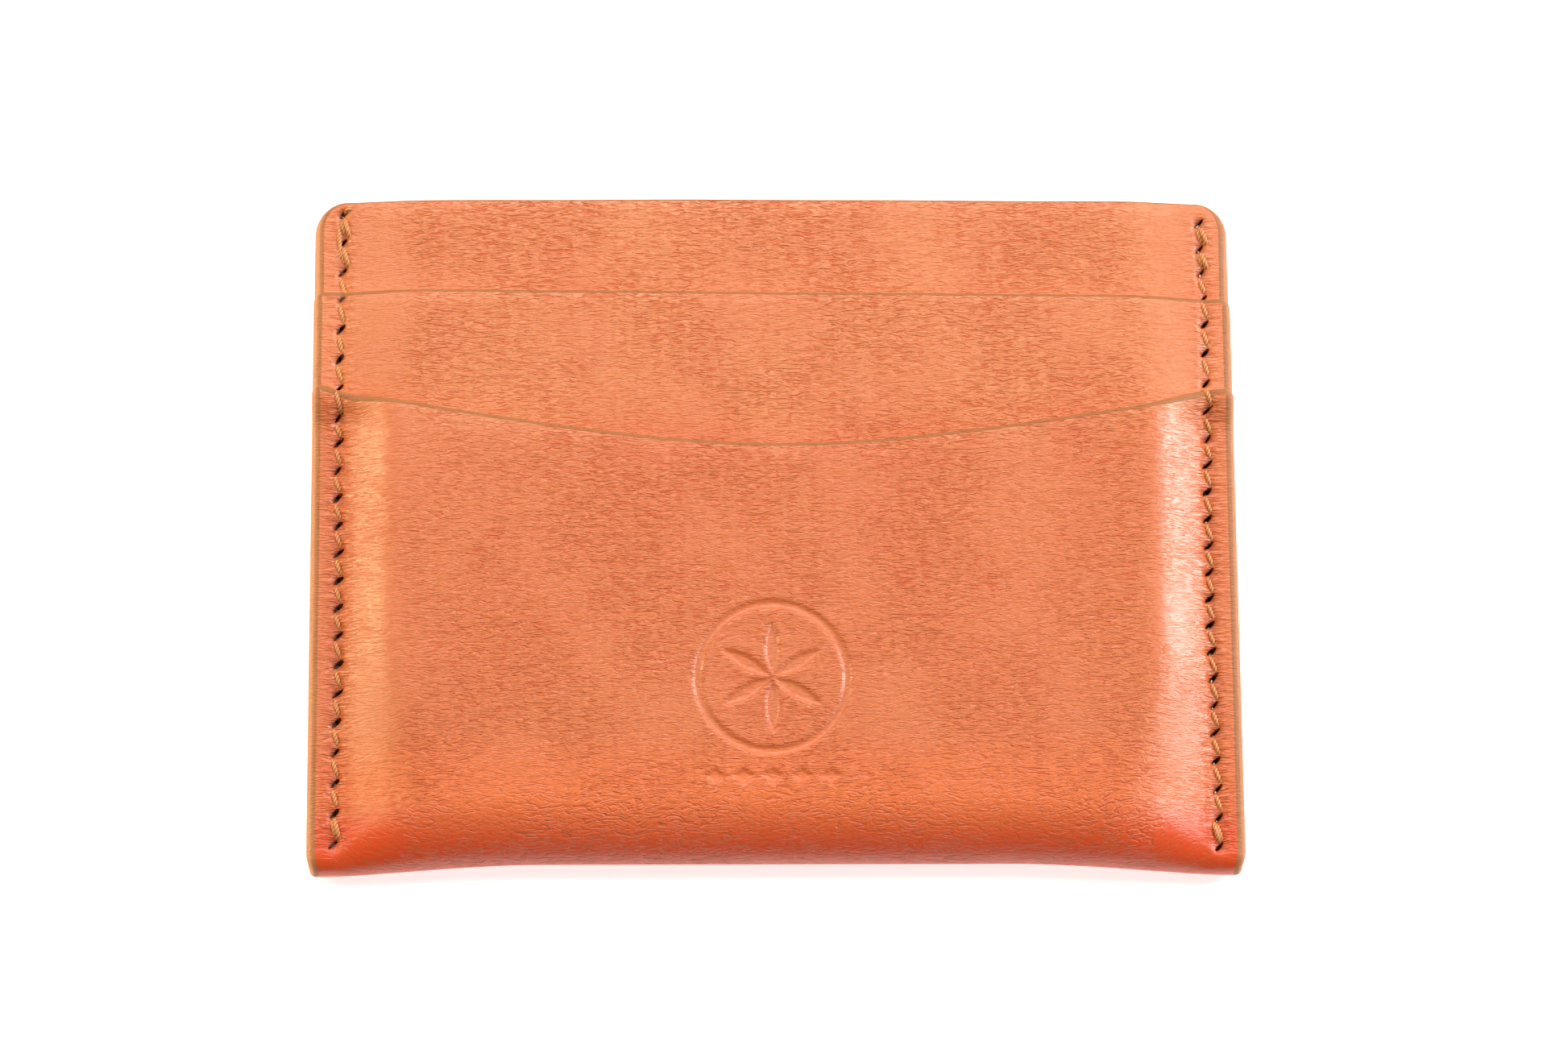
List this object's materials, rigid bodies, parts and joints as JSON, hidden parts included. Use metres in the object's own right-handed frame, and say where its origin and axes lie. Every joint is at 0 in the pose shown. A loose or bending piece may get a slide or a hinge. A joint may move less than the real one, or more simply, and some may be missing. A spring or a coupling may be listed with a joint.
{
  "type": "leather card holder",
  "caption": "Slim flat leather card holder with a scooped front pocket, a straight slot behind it and a centre pocket, saddle-stitched down both sides.",
  "frame": {"origin": "middle of the footprint, on the surface that the holder's back lies on", "axes": "+X across the holder to the right as its front is seen, +Y to the pocket mouths, +Z out of its front"},
  "size_m": [0.1, 0.075, 0.007],
  "materials": {
    "orange_leather": "vegetable-tanned leather, dyed orange on its grain side, with natural tan burnished edges and a fine horizontal wrinkle grain",
    "waxed_thread": "waxed tan thread, 0.45 mm"
  },
  "bodies": {
    "root": {"outer_wrap": "orange_leather", "centre_panel": "orange_leather", "t_pocket": "orange_leather", "seam_thread_left": "waxed_thread", "seam_thread_right": "waxed_thread", "t_pocket_thread": "waxed_thread"}
  },
  "joints": []
}
